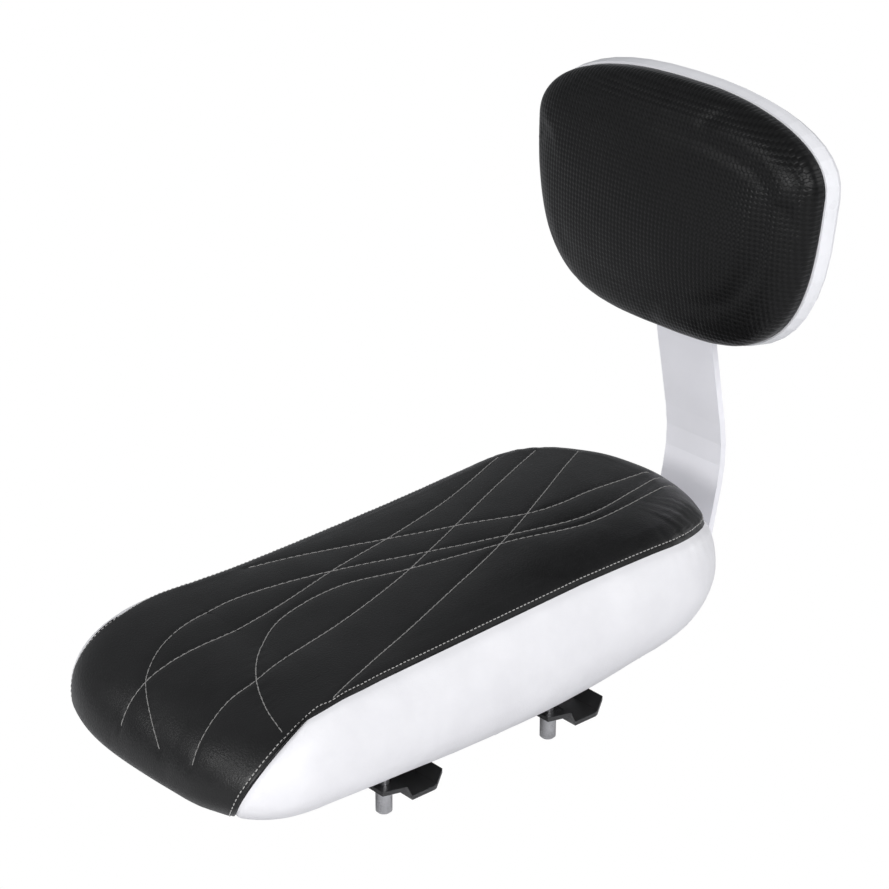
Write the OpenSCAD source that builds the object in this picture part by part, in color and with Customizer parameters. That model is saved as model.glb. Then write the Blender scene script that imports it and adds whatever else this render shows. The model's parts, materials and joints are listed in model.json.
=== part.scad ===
// Rear passenger seat for a bicycle carrier: cushion on a moulded pan, four rail clamps, and a
// padded backrest on a flat steel bracket. X runs across the seat, Y points to the backrest and
// Z up. The origin is on the plane where the carrier's rails meet the rest strips, midway
// between the four clamps.

/* [Cushion outline] */
// Length of the cushion, nose to rear
cushion_len = 365; // [350:1:380]
// How far the nose reaches in front of the origin
nose_reach = 180; // [175:1:185]
// Half width of the top edge near the nose
half_w_front = 86.2; // [80:0.1:92]
// Half width of the top edge near the rear
half_w_rear = 79.7; // [76:0.1:92]
// Depth of the rounded front corners
front_corner_len = 49.9; // [40:0.1:60]
// Squareness of the front corners
front_square = 2.78; // [2.2:0.01:3.2]
// Length of the round rear end
rear_round_len = 64.3; // [55:0.1:80]
// Squareness of the rear end
rear_square = 2.1; // [2:0.01:2.6]

/* [Cushion height] */
// Height of the top surface at the rear
top_rear_z = 93.6; // [88:0.1:98]
// Fall of the top surface from rear to nose
top_fall = 22.5; // [15:0.1:26]
// Height of the nose tip
nose_tip_z = 29; // [26:0.1:32]
// Length of the roll at the nose
nose_roll_len = 85; // [75:1:95]
// Height of the lower edge at the rear
rear_edge_z = 31.5; // [29:0.1:33]
// Height of the lower edge at the nose
front_edge_z = 19.5; // [17:0.1:21]
// Sag of the lower edge at mid length
keel_sag = 23.3; // [21:0.1:23.5]
// Crown in the middle of the top surface
top_dome = 3; // [0:0.5:5]

/* [Cushion section] */
// Bulge of the side walls
wall_bulge = 8.7; // [5:0.1:10]
// Height of the fullest part of the wall, as a share
bulge_at = 0.53; // [0.4:0.01:0.65]
// Inward tuck of the lower edge at the rear
tuck_rear = 9.5; // [6:0.1:14]
// Extra tuck of the lower edge at the nose
tuck_front = 23.6; // [15:0.1:26]
// Width of the rounded shoulder
shoulder_w = 22.1; // [16:0.1:26]
// Height of the rounded shoulder
shoulder_h = 10.1; // [7:0.1:13]
// Thickness of the cover material
cover_t = 1.6; // [1.2:0.1:2]
// Width of the margin that is folded under
hem_w = 5; // [4:0.5:6]

/* [Base pan] */
// Thickness of the pan
pan_t = 6; // [5:0.5:8]
// Underside height of the bracket boss
bracket_boss_z = 5; // [4.5:0.1:5.5]
// Distance of each rest strip from the middle
strip_x = 31; // [28:1:33]
// Width of a rest strip
strip_w = 13; // [8:1:14]
// Length of a rest strip
strip_len = 170; // [120:5:180]

/* [Rail clamps] */
// Distance of each clamp stud from the middle
stud_x = 49; // [47:0.5:51]
// Distance of each clamp stud in front of or behind the origin
stud_y = 59; // [55:0.5:62]
// Diameter of the stud
stud_d = 6; // [6:1:6]
// Height of the boss face that carries the lock nut
stud_boss_z = 4; // [3.5:0.1:4.5]
// Top face of the clamp plate
ear_z = -6.5; // [-7:0.1:-6]
// Thickness of the clamp plate
dog_t = 2.5; // [2:0.1:3]
// Width of the clamp plate
dog_w = 23; // [20:0.5:25]
// Depth of the trough that holds a rail
trough_depth = 7; // [6:0.1:8]
// Outer diameter of the sleeve nut
sleeve_d = 9; // [8.5:0.1:10]
// Length of the sleeve nut
sleeve_len = 15; // [13:0.5:17]

/* [Bracket] */
// Width of the flat bar
bar_w = 44; // [40:1:48]
// Thickness of the flat bar
bar_t = 4; // [3:0.5:5]
// Radius of the bend under the rear of the cushion
heel_r = 14; // [10:1:18]
// Radius of the long bend behind the cushion
knee_r = 100; // [60:5:120]
// Radius of the bend below the backrest
crank_r = 30; // [15:5:40]

/* [Backrest] */
// Half width of the pad at its top
pad_half_top = 108.9; // [100:0.1:115]
// Half width of the pad at its bottom
pad_half_bottom = 102.1; // [94:0.1:110]
// Reach of the pad above its widest line
pad_above = 45.2; // [40:0.1:55]
// Reach of the pad below its widest line
pad_below = 100.2; // [90:0.1:110]
// Height of the widest line
pad_z = 270.6; // [262:0.1:280]
// Distance of the pad's back edge behind the origin
pad_y = 199.4; // [195:0.1:203]
// Backward lean of the pad, in degrees
pad_lean = 3.4; // [0:0.1:8]
// Thickness of the pad at its edge
pad_edge = 5; // [4:0.5:8]
// Rise of the rounded pad edge
pad_round_h = 17; // [13:0.5:20]
// Width of the rounded pad edge
pad_round_w = 32; // [26:1:40]
// Crown in the middle of the pad
pad_dome = 8.5; // [6:0.5:11]
// Depth of the shell behind the pad
shell_depth = 13.6; // [11:0.1:16]
// Wall of the shell
shell_t = 2.6; // [2.2:0.1:3.2]

/* [Hidden] */
gap = 0.3;

// Outline of the cushion: half of it from nose to rear, then mirrored. Each point is
// [x, y from the nose, outward normal x, outward normal y].
corner_turns = concat([0, 10, 20, 28, 34], [for (a = [38 : 2 : 64]) a], [68, 72, 76, 81, 90]);
corner_n = len(corner_turns) - 1;
side_n = 9;
rear_n = 10;
half_outline = concat(
  [for (i = [0 : corner_n])
    let (a = corner_turns[i], u = pow(cos(a), 2 / front_square))
    [half_w_front * pow(sin(a), 2 / front_square), front_corner_len * (1 - u)]],
  [for (i = [1 : side_n - 1])
    let (s = i / side_n)
    [half_w_rear + (half_w_front - half_w_rear) * pow(1 - s, 2),
      front_corner_len + s * (cushion_len - rear_round_len - front_corner_len)]],
  [for (i = [0 : rear_n])
    let (a = 90 * i / rear_n)
    [half_w_rear * pow(cos(a), 2 / rear_square),
      cushion_len - rear_round_len * (1 - pow(sin(a), 2 / rear_square))]]);
half_n = len(half_outline) - 1;
ring_n = 2 * half_n;
outline = [for (i = [0 : ring_n - 1])
  i <= half_n ? half_outline[i] : [-half_outline[ring_n - i][0], half_outline[ring_n - i][1]]];
normals = [for (i = [0 : ring_n - 1])
  let (d = outline[(i + 1) % ring_n] - outline[(i + ring_n - 1) % ring_n])
  [d[1], -d[0]] / norm(d)];

// Heights and widths along the cushion, with y from the nose; fullness fades the section
// towards the nose
fade_len = 66.3;
nose_tuck = 10;
function share(y, from, to) = max(0, min(1, (y - from) / (to - from)));
function forward(y) = max(0, min(1, 1 - y / cushion_len));
function fullness(y) =
  let (q = max(0, (fade_len - y) / fade_len)) sqrt(max(0.015, 1 - q * q));
function keel_z(y) =
  let (t = forward(y))
  rear_edge_z - (rear_edge_z - front_edge_z) * t * t - 4 * keel_sag * t * (1 - t);
function upper_z(y) = top_rear_z - top_fall * forward(y);
function tuck(y) = max(nose_tuck, (tuck_rear + tuck_front * pow(forward(y), 2)) * fullness(y));
function bulge(y) = wall_bulge * fullness(y);
function widest_z(y) =
  let (low = keel_z(y), side = low + bulge_at * (upper_z(y) - shoulder_h - low))
  nose_tip_z + (side - nose_tip_z) * fullness(y);

// A point of the cushion's skin. Level -1 is the inner edge of the folded margin, 0 the lower
// edge, 1 the widest line and 2 the level top. Inset moves it inwards.
roll_run = 180;
function inwards(p) = [p[0] / half_w_front, 2 * p[1] / cushion_len - 1];
function drawn_in(i, offset, share) =
  outline[i] + (normals[i] * (1 - share) + inwards(outline[i]) * share) * offset;
function lower_skin(i, level, inset) =
  let (y = outline[i][1], h = max(0, level), edge = drawn_in(i, -tuck(y) - inset, 1),
    o = min(0, level) * hem_w + bulge(y) - (bulge(y) + tuck(y)) * pow(1 - h, 2) - inset,
    q = drawn_in(i, o, o < 0 ? 1 - h : 0), low = keel_z(level < 0 ? q[1] : edge[1]) + inset)
  [q[0], q[1] - nose_reach, low + (widest_z(y) - low) * h];
function upper_skin(i, level, inset) =
  let (p = outline[i], y = p[1], a = 90 * (level - 1),
    wide = p + normals[i] * (bulge(y) - inset),
    flat = [p[0] - normals[i][0] * (shoulder_w + inset),
      y - normals[i][1] * (shoulder_w * share(y, fade_len, roll_run) + inset)
        + nose_roll_len * pow(max(0, 1 - y / roll_run), 1.9)],
    q = wide + (flat - wide) * (1 - cos(a)), low = widest_z(y),
    power = 2 + 0.5 * max(0, 1 - y / fade_len))
  [q[0], q[1] - nose_reach,
    low + (upper_z(flat[1]) - inset - low) * sqrt(max(0, 1 - pow(cos(a), power)))];
function skin(i, level, inset) =
  level < 1 ? lower_skin(i, level, inset) : upper_skin(i, level, inset);

// Level of the seam between top cover and side band: along the shoulder, down at the rear,
// and down each front corner to the lower edge
seam_side = 1.715;
seam_low = -0.88;
seam_corner_y = 13.9;
function seam_level(y) =
  let (front = share(y, 52, 26), rear = share(y, 240, cushion_len),
    corner = 1 + (y > seam_corner_y ? 0.051 : 0.19) * (y - seam_corner_y))
  max(seam_low, min(corner, seam_side - 0.115 * front * front - 0.06 * share(y, 85, 235)
    - 0.12 * rear - 0.45 * pow(rear, 6)));

// Faces between two rings of n points, and across a ring that is symmetric about X = 0
function tri_pair(a, b, c, d) = [[a, b, c], [a, c, d]];
function belt(a, b, n) = [for (i = [0 : n - 1])
  let (k = (i + 1) % n)
  each i < n / 2 ? tri_pair(b + i, b + k, a + k, a + i) : tri_pair(a + i, b + i, b + k, a + k)];
function flipped(faces) = [for (f = faces) [f[2], f[1], f[0]]];

// A row of the domed cap: ring point i, m inner points, and the mirrored ring point
function cap_row(i, ring, inner, m, n) =
  concat([ring + i], [for (k = [0 : m - 1]) inner + (i - 1) * m + k], [ring + n - i]);
function cap_faces(ring, inner, m, n) = concat(
  [for (k = [0 : m])
    let (r = cap_row(1, ring, inner, m, n)) [ring, r[k + 1], r[k]]],
  [for (i = [1 : n / 2 - 2])
    let (r = cap_row(i, ring, inner, m, n), q = cap_row(i + 1, ring, inner, m, n))
    for (k = [0 : m]) each tri_pair(r[k], r[k + 1], q[k + 1], q[k])],
  [for (k = [0 : m])
    let (r = cap_row(n / 2 - 1, ring, inner, m, n)) [r[k], r[k + 1], ring + n / 2]]);
function flat_faces(ring, n) = concat([[ring, ring + 1, ring + n - 1]],
  [for (i = [1 : n / 2 - 2])
    each tri_pair(ring + i, ring + i + 1, ring + n - i - 1, ring + n - i)],
  [[ring + n / 2 - 1, ring + n / 2, ring + n / 2 + 1]]);

// Rows from one level to another, evenly spaced along the skin: a level below the widest line
// is short and a level above it is long
short_level = 20;
long_level = 90;
function run_of(level) =
  level < 1 ? short_level * level : short_level + long_level * (level - 1);
function level_of(run) =
  run < short_level ? run / short_level : 1 + (run - short_level) / long_level;
function between(from, to, part) = level_of(run_of(from) * (1 - part) + run_of(to) * part);

// Inner points of the domed top of the cushion, which starts just short of the level top
cap_m = 5;
cap_level = 1.92;
function top_inner(inset) =
  let (front = skin(0, cap_level, inset)[1], rear = skin(half_n, cap_level, inset)[1])
  [for (i = [1 : half_n - 1])
    let (a = skin(i, cap_level, inset), b = skin(ring_n - i, cap_level, inset),
      along = 2 * (a[1] - front) / (rear - front) - 1)
    for (k = [1 : cap_m])
      let (s = k / (cap_m + 1), side = 2 * s - 1)
      a * (1 - s) + b * s + [0, 0, top_dome * (1 - side * side) * (1 - pow(along, 4))]];
cover_rows = 12;
function cover_points(inset) = concat(
  [for (r = [0 : cover_rows - 1]) for (i = [0 : ring_n - 1])
    skin(i, between(seam_level(outline[i][1]), cap_level, r / (cover_rows - 1)), inset)],
  top_inner(inset));

// A skin of thickness t: an outer and an inner copy of the same rows, closed along the edge
module skin_solid(outer, inner, rows, m, n) {
  second = len(outer);
  last = (rows - 1) * n;
  faces_out = concat([for (r = [0 : rows - 2]) each belt(r * n, (r + 1) * n, n)],
    cap_faces(last, rows * n, m, n));
  faces_in = [for (f = flipped(faces_out)) f + [second, second, second]];
  polyhedron(concat(outer, inner),
    concat(faces_out, faces_in, flipped(belt(0, second, n))), convexity = 6);
}

module seat_cover() {
  color([0.13, 0.13, 0.14])
    skin_solid(cover_points(0), cover_points(cover_t), cover_rows, cap_m, ring_n);
}

// The band runs round the rear, from one front corner to the other
band_from = 4;
band_cols = ring_n - 2 * band_from;
band_rows = 11;
function band_points(inset) = [for (j = [0 : band_cols]) for (r = [0 : band_rows - 1])
  let (i = band_from + j, to = seam_level(outline[i][1]) - 0.004)
  skin(i, between(-1, to, r / (band_rows - 1)), inset)];
module side_band() {
  outer = band_points(0);
  inner = band_points(cover_t);
  second = len(outer);
  m = band_rows;
  shell = [for (j = [0 : band_cols - 1]) for (r = [0 : m - 2])
    let (a = j * m + r, b = a + m)
    each j < band_cols / 2 ? tri_pair(a + 1, b + 1, b, a) : tri_pair(a, a + 1, b + 1, b)];
  top_edge = [for (j = [0 : band_cols - 1])
    each tri_pair(j * m + m - 1, second + j * m + m - 1, second + (j + 1) * m + m - 1,
      (j + 1) * m + m - 1)];
  low_edge = [for (j = [0 : band_cols - 1])
    each tri_pair(j * m, (j + 1) * m, second + (j + 1) * m, second + j * m)];
  end = band_cols * m;
  end_a = [for (r = [0 : m - 2]) each tri_pair(r, second + r, second + r + 1, r + 1)];
  end_b = [for (r = [0 : m - 2])
    each tri_pair(end + r + 1, second + end + r + 1, second + end + r, end + r)];
  color([0.93, 0.93, 0.95])
    polyhedron(concat(outer, inner),
      concat(shell, [for (f = flipped(shell)) f + [second, second, second]], top_edge,
        low_edge, end_a, end_b), convexity = 8);
}

// The foam stands on the pan and fills the cover
foam_inset = cover_t + 2;
function foam_from(i) =
  let (p = skin(i, 0.5, foam_inset), low = keel_z(p[1] + nose_reach) + foam_inset)
  (pan_top_z(p[1]) + gap - low) / (widest_z(outline[i][1]) - low);
function foam_foot(i) =
  let (p = skin(i, foam_from(i), foam_inset)) [p[0], p[1], pan_top_z(p[1]) + gap];
module seat_foam() {
  low_rows = 4;
  levels = [1, 1.15, 1.3, 1.45, 1.6, 1.76, cap_level];
  rows = low_rows + len(levels);
  points = concat([for (i = [0 : ring_n - 1]) foam_foot(i)],
    [for (r = [1 : low_rows - 1]) for (i = [0 : ring_n - 1])
      let (from = foam_from(i)) skin(i, from + (1 - from) * r / low_rows, foam_inset)],
    [for (level = levels) for (i = [0 : ring_n - 1]) skin(i, level, foam_inset)],
    top_inner(foam_inset));
  color([0.9, 0.85, 0.6])
    polyhedron(points, concat(
      [for (r = [0 : rows - 2]) each belt(r * ring_n, (r + 1) * ring_n, ring_n)],
      cap_faces((rows - 1) * ring_n, rows * ring_n, cap_m, ring_n),
      flat_faces(0, ring_n)), convexity = 4);
}

// Pan: its lower face follows the lower edge of the cover
pan_from = 18;
pan_to = cushion_len - 14;
function pan_low_z(y) = keel_z(y + nose_reach) + cover_t + gap;
function pan_top_z(y) = pan_low_z(y) + pan_t;
pan_ys = [for (y = [pan_from : (pan_to - pan_from) / 24 : pan_to + 0.01]) y - nose_reach];
pan_edge = 1.6;
pan_outline = [for (i = [0 : ring_n - 1])
  let (p = skin(i, 0, cover_t + gap + pan_edge)) [p[0], p[1]]];
module along_x(width) {
  rotate([90, 0, 90])
    linear_extrude(width, center = true, convexity = 6)
      children();
}
module pan_profile() {
  polygon(concat([for (y = pan_ys) [y, pan_low_z(y)]],
    [for (i = [len(pan_ys) - 1 : -1 : 0]) [pan_ys[i], pan_top_z(pan_ys[i])]]));
}
stud_boss_r = 7;
module at_studs() {
  for (x = [-stud_x, stud_x])
    for (y = [-stud_y, stud_y])
      translate([x, y, 0])
        children();
}
// The stud heads sit in pockets of the pan
head_h = 3;
function head_z(y) = pan_top_z(y) - head_h - 0.4;

// Bracket foot: where the bolts sit, and its reach under the pan
foot_from = 78;
bolt_x = 12;
bolt_ys = [92, 132];
tee_z = 16.5;
module at_bracket_bolts() {
  for (x = [-bolt_x, bolt_x])
    for (y = bolt_ys)
      translate([x, y, 0])
        children();
}
boss_margin = 4;
boss_to = 150;
boss_ys = [for (y = pan_ys) if (y > foot_from - 12 && y < boss_to + 6) y];
module base_pan() {
  color([0.12, 0.12, 0.13])
    difference() {
      union() {
        intersection() {
          along_x(3 * half_w_front) pan_profile();
          linear_extrude(100) polygon(pan_outline);
        }
        at_studs()
          translate([0, 0, stud_boss_z])
            cylinder(h = pan_low_z(stud_y) + 2 - stud_boss_z, r = stud_boss_r, $fn = 48);
        along_x(bar_w + 2 * boss_margin)
          polygon(concat([for (y = boss_ys) [y, bracket_boss_z]],
            [for (i = [len(boss_ys) - 1 : -1 : 0]) [boss_ys[i], pan_low_z(boss_ys[i]) + 2]]));
      }
      at_studs() cylinder(h = 60, r = stud_d / 2 + 0.25, $fn = 48);
      for (x = [-stud_x, stud_x])
        for (y = [-stud_y, stud_y])
          translate([x, y, head_z(y)]) cylinder(h = 30, r = 8, $fn = 48);
      at_bracket_bolts() cylinder(h = 60, r = 4.6, $fn = 48);
      at_bracket_bolts() translate([0, 0, tee_z]) cylinder(h = 30, r = 10, $fn = 48);
    }
}

module rest_strips() {
  ys = [for (y = pan_ys) if (abs(y) < strip_len / 2) y];
  last = len(ys) - 1;
  color([0.06, 0.06, 0.06])
    for (x = [-strip_x, strip_x])
      translate([x, 0, 0])
        along_x(strip_w)
          polygon(concat([[ys[0], 0], [ys[last], 0]],
            [for (i = [last : -1 : 0]) [ys[i], pan_low_z(ys[i])]]));
}

// Staples that hold the folded margin to the pan, lying flush with it
staple_len = 7;
staple_t = 0.7;
staple_half = concat([7, 12, 17, 21], [for (i = [corner_n : corner_n + side_n]) i],
  [for (i = [corner_n + side_n + 2 : 2 : half_n - 3]) i]);
module cover_staples() {
  color("silver")
    for (i = concat(staple_half, [for (k = staple_half) ring_n - k])) {
      p = skin(i, -0.5, 0);
      slope = (keel_z(p[1] + nose_reach + 1) - keel_z(p[1] + nose_reach - 1)) / 2;
      translate(p)
        rotate([atan(slope), 0, 0])
          rotate([0, 0, atan2(normals[i][1], normals[i][0])])
            translate([0, 0, -staple_t / 2 - 0.05])
              cube([staple_t, staple_len, staple_t], center = true);
    }
}

// Rail clamps: a headed stud through the pan, a washer and a lock nut under the boss
stud_end_z = -15.4;
washer_t = 1.2;
lock_nut_h = 3.2;
module hex_prism(across, h) {
  cylinder(h = h, r = across / sqrt(3), $fn = 6);
}
module clamp_studs() {
  color("silver")
    for (x = [-stud_x, stud_x])
      for (y = [-stud_y, stud_y])
        translate([x, y, 0]) {
          translate([0, 0, head_z(y)]) cylinder(h = head_h, r1 = 7, r2 = 5, $fn = 40);
          translate([0, 0, stud_end_z])
            cylinder(h = head_z(y) + 1 - stud_end_z, r = stud_d / 2, $fn = 40);
        }
}
module stud_washers() {
  color("silver")
    at_studs()
      translate([0, 0, stud_boss_z - washer_t])
        difference() {
          cylinder(h = washer_t, r = 6, $fn = 40);
          translate([0, 0, -1]) cylinder(h = washer_t + 2, r = stud_d / 2 + 0.3, $fn = 40);
        }
}
module lock_nuts() {
  color("silver")
    at_studs()
      translate([0, 0, stud_boss_z - washer_t - lock_nut_h])
        difference() {
          hex_prism(10, lock_nut_h);
          translate([0, 0, -1])
            cylinder(h = lock_nut_h + 2, r = stud_d / 2 + 0.02, $fn = 40);
        }
}

// Clamp plate: an ear on the stud, a trough for the rail and an upturned lip
ear_back = 7;
ear_front = 6.5;
step_run = 3.5;
floor_len = 17.5;
lip_run = 5.5;
lip_rise = 6.6;
dog_nose_w = 15;
dog_lip_w = 18;
function dog_line() = [[-ear_back, ear_z], [ear_front, ear_z],
  [ear_front + step_run, ear_z - trough_depth],
  [ear_front + step_run + floor_len, ear_z - trough_depth],
  [ear_front + step_run + floor_len + lip_run, ear_z - trough_depth + lip_rise]];
module clamp_dog(x, y) {
  line = dog_line();
  ends = line[4][0];
  color([0.08, 0.08, 0.08])
    translate([x, y, 0])
      difference() {
        intersection() {
          along_x(2 * dog_w)
            polygon(concat(line, [for (i = [4 : -1 : 0]) line[i] - [0, dog_t]]));
          translate([0, 0, -50])
            linear_extrude(60)
              polygon([[-dog_nose_w / 2, -ear_back], [dog_nose_w / 2, -ear_back],
                [dog_w / 2, ear_front], [dog_w / 2, line[3][0] - 2],
                [dog_lip_w / 2, ends], [-dog_lip_w / 2, ends],
                [-dog_w / 2, line[3][0] - 2], [-dog_w / 2, ear_front]]);
        }
        translate([0, 0, ear_z - dog_t - 1])
          cylinder(h = dog_t + 2, r = stud_d / 2 + 0.08, $fn = 40);
      }
}
module dog_front_left() { clamp_dog(-stud_x, -stud_y); }
module dog_front_right() { clamp_dog(stud_x, -stud_y); }
module dog_rear_left() { clamp_dog(-stud_x, stud_y); }
module dog_rear_right() { clamp_dog(stud_x, stud_y); }

// Sleeve nut with a hexagon socket in its lower end
socket_across = 5;
socket_deep = 4;
module sleeve_nut(x, y) {
  top = ear_z - dog_t - 0.02;
  color("silver")
    translate([x, y, top - sleeve_len])
      difference() {
        union() {
          translate([0, 0, 1]) cylinder(h = sleeve_len - 1, r = sleeve_d / 2, $fn = 48);
          cylinder(h = 1, r1 = sleeve_d / 2 - 1, r2 = sleeve_d / 2, $fn = 48);
        }
        translate([0, 0, socket_deep])
          cylinder(h = sleeve_len, r = stud_d / 2 + 0.05, $fn = 48);
        translate([0, 0, -1]) hex_prism(socket_across, socket_deep + 1.5);
      }
}
module sleeve_nut_front_left() { sleeve_nut(-stud_x, -stud_y); }
module sleeve_nut_front_right() { sleeve_nut(stud_x, -stud_y); }
module sleeve_nut_rear_left() { sleeve_nut(-stud_x, stud_y); }
module sleeve_nut_rear_right() { sleeve_nut(stud_x, stud_y); }

// Bracket: a flat bar bent round the corners of a line, from the foot to the top
heel = [203.6, bracket_boss_z - bar_t / 2];
knee = [222.3, 89.4];
crank_z = 162;
bar_end_z = 262;
bar_q = -shell_depth - bar_t / 2 - 0.05;
function on_pad_line(z) =
  [pad_y - bar_q * cos(pad_lean) + (z - pad_z - bar_q * sin(pad_lean)) * tan(pad_lean), z];
function bend(a, b, c, r) =
  let (u = (b - a) / norm(b - a), w = (c - b) / norm(c - b), turn = atan2(cross(u, w), u * w),
    p = b - u * r * tan(abs(turn) / 2), from = atan2(u[1], u[0]), side = sign(turn),
    centre = p + side * r * [-u[1], u[0]], steps = ceil(abs(turn) / 8))
  [for (j = [0 : steps])
    let (h = from + turn * j / steps) [centre + side * r * [sin(h), -cos(h)], h]];
foot_end = [foot_from, heel[1]];
crank = on_pad_line(crank_z);
bar_end = on_pad_line(bar_end_z);
bar_line = concat([[foot_end, 0]], bend(foot_end, heel, knee, heel_r),
  bend(heel, knee, crank, knee_r), bend(knee, crank, bar_end, crank_r),
  [[bar_end, 90 - pad_lean]]);
module bar_profile() {
  n = len(bar_line);
  function off(k, d) =
    bar_line[k][0] + d * [-sin(bar_line[k][1]), cos(bar_line[k][1])];
  polygon(concat([for (k = [0 : n - 1]) off(k, -bar_t / 2)],
    [for (k = [n - 1 : -1 : 0]) off(k, bar_t / 2)]));
}

// The pad's frame: v runs up its back, q forwards out of it
module in_pad_frame() {
  translate([0, pad_y, pad_z])
    rotate([90 - pad_lean, 0, 0])
      children();
}
pad_bolt_vs = [-62, -22];
module at_pad_bolts() {
  in_pad_frame()
    for (v = pad_bolt_vs)
      translate([0, v, 0])
        children();
}
module bracket() {
  color([0.86, 0.86, 0.9])
    difference() {
      along_x(bar_w) bar_profile();
      at_bracket_bolts() translate([0, 0, -10]) cylinder(h = 30, r = 3.3, $fn = 40);
      at_pad_bolts() translate([0, 0, -40]) cylinder(h = 60, r = 3.3, $fn = 40);
    }
}

bolt_head_h = 3.3;
module button_bolt(grip) {
  difference() {
    union() {
      cylinder(h = bolt_head_h, r1 = 4, r2 = 5.5, $fn = 40);
      cylinder(h = bolt_head_h + grip, r = 3, $fn = 40);
    }
    translate([0, 0, -1]) hex_prism(4, 3);
  }
}
module plain_washer() {
  difference() {
    cylinder(h = washer_t, r = 6.2, $fn = 40);
    translate([0, 0, -1]) cylinder(h = washer_t + 2, r = 3.3, $fn = 40);
  }
}
module tee_nut(barrel) {
  difference() {
    union() {
      cylinder(h = 1.5, r = 9.5, $fn = 40);
      translate([0, 0, -barrel]) cylinder(h = barrel + 1, r = 4.4, $fn = 40);
    }
    translate([0, 0, -barrel - 1]) cylinder(h = barrel + 4, r = 3.02, $fn = 40);
  }
}
module bracket_bolts() {
  foot_z = bracket_boss_z - bar_t - washer_t;
  color("silver")
    at_bracket_bolts() translate([0, 0, foot_z - bolt_head_h]) button_bolt(16);
}
module bracket_washers() {
  color("silver")
    at_bracket_bolts() translate([0, 0, bracket_boss_z - bar_t - washer_t]) plain_washer();
}
module bracket_tee_nuts() {
  color("silver")
    at_bracket_bolts() translate([0, 0, tee_z]) tee_nut(7);
}

// Outline of the pad in its frame, from the bottom middle round the right side
pad_square_top = 2.28;
pad_square_low = 3.2;
pad_n = 11;
function pad_half_w(v, inset) =
  pad_half_bottom + (pad_half_top - pad_half_bottom) * (v + pad_below)
    / (pad_above + pad_below) - inset;
function pad_half(inset) = concat(
  [for (i = [0 : pad_n])
    let (a = 90 * i / pad_n, v = -(pad_below - inset) * pow(cos(a), 2 / pad_square_low))
    [pow(sin(a), 2 / pad_square_low) * pad_half_w(v, inset), v]],
  [for (i = [1 : pad_n])
    let (a = 90 * i / pad_n, v = (pad_above - inset) * pow(sin(a), 2 / pad_square_top))
    [pow(cos(a), 2 / pad_square_top) * pad_half_w(v, inset), v]]);
pad_ring_n = 4 * pad_n;
function pad_ring(inset, q) =
  let (half = pad_half(inset))
  [for (i = [0 : pad_ring_n - 1])
    i <= 2 * pad_n ? [half[i][0], half[i][1], q]
    : [-half[pad_ring_n - i][0], half[pad_ring_n - i][1], q]];
pad_cap_m = 5;
function pad_inner(inset, q, dome) =
  let (ring = pad_ring(inset, q), low = ring[0][1], top = ring[2 * pad_n][1])
  [for (i = [1 : 2 * pad_n - 1]) for (k = [1 : pad_cap_m])
    let (s = k / (pad_cap_m + 1), side = 2 * s - 1,
      up = (2 * ring[i][1] - top - low) / (top - low))
    ring[i] * (1 - s) + ring[pad_ring_n - i] * s
      + [0, 0, dome * (1 - side * side) * (1 - up * up)]];
pad_turns = [0, 14, 28, 40, 52, 62];
function pad_skin(inset) = concat(pad_ring(inset, 0.3),
  [for (a = pad_turns)
    each pad_ring(pad_round_w * (1 - cos(a)) + inset, pad_edge + pad_round_h * sin(a) - inset)],
  pad_inner(pad_round_w * (1 - cos(pad_turns[5])) + inset,
    pad_edge + pad_round_h * sin(pad_turns[5]) - inset, pad_dome));
pad_rows = len(pad_turns) + 1;
module backrest_cover() {
  color([0.13, 0.13, 0.14])
    in_pad_frame()
      skin_solid(pad_skin(0), pad_skin(cover_t), pad_rows, pad_cap_m, pad_ring_n);
}
module backrest_foam() {
  last = (pad_rows - 1) * pad_ring_n;
  color([0.9, 0.85, 0.6])
    in_pad_frame()
      difference() {
        polyhedron(pad_skin(foam_inset), concat(
          [for (r = [0 : pad_rows - 2])
            each belt(r * pad_ring_n, (r + 1) * pad_ring_n, pad_ring_n)],
          cap_faces(last, pad_rows * pad_ring_n, pad_cap_m, pad_ring_n),
          flat_faces(0, pad_ring_n)), convexity = 4);
        for (v = pad_bolt_vs)
          translate([0, v, -1]) cylinder(h = 8, r = 11, $fn = 32);
      }
}

board_t = 6;
module backrest_board() {
  color([0.7, 0.55, 0.38])
    in_pad_frame()
      difference() {
        translate([0, 0, -board_t])
          linear_extrude(board_t)
            polygon([for (p = pad_ring(shell_t + 1.4, 0)) [p[0], p[1]]]);
        for (v = pad_bolt_vs)
          translate([0, v, -20]) cylinder(h = 40, r = 4.6, $fn = 40);
        at_shell_screws() translate([0, 0, -20]) cylinder(h = 40, r = 2.02, $fn = 32);
      }
}

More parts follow.
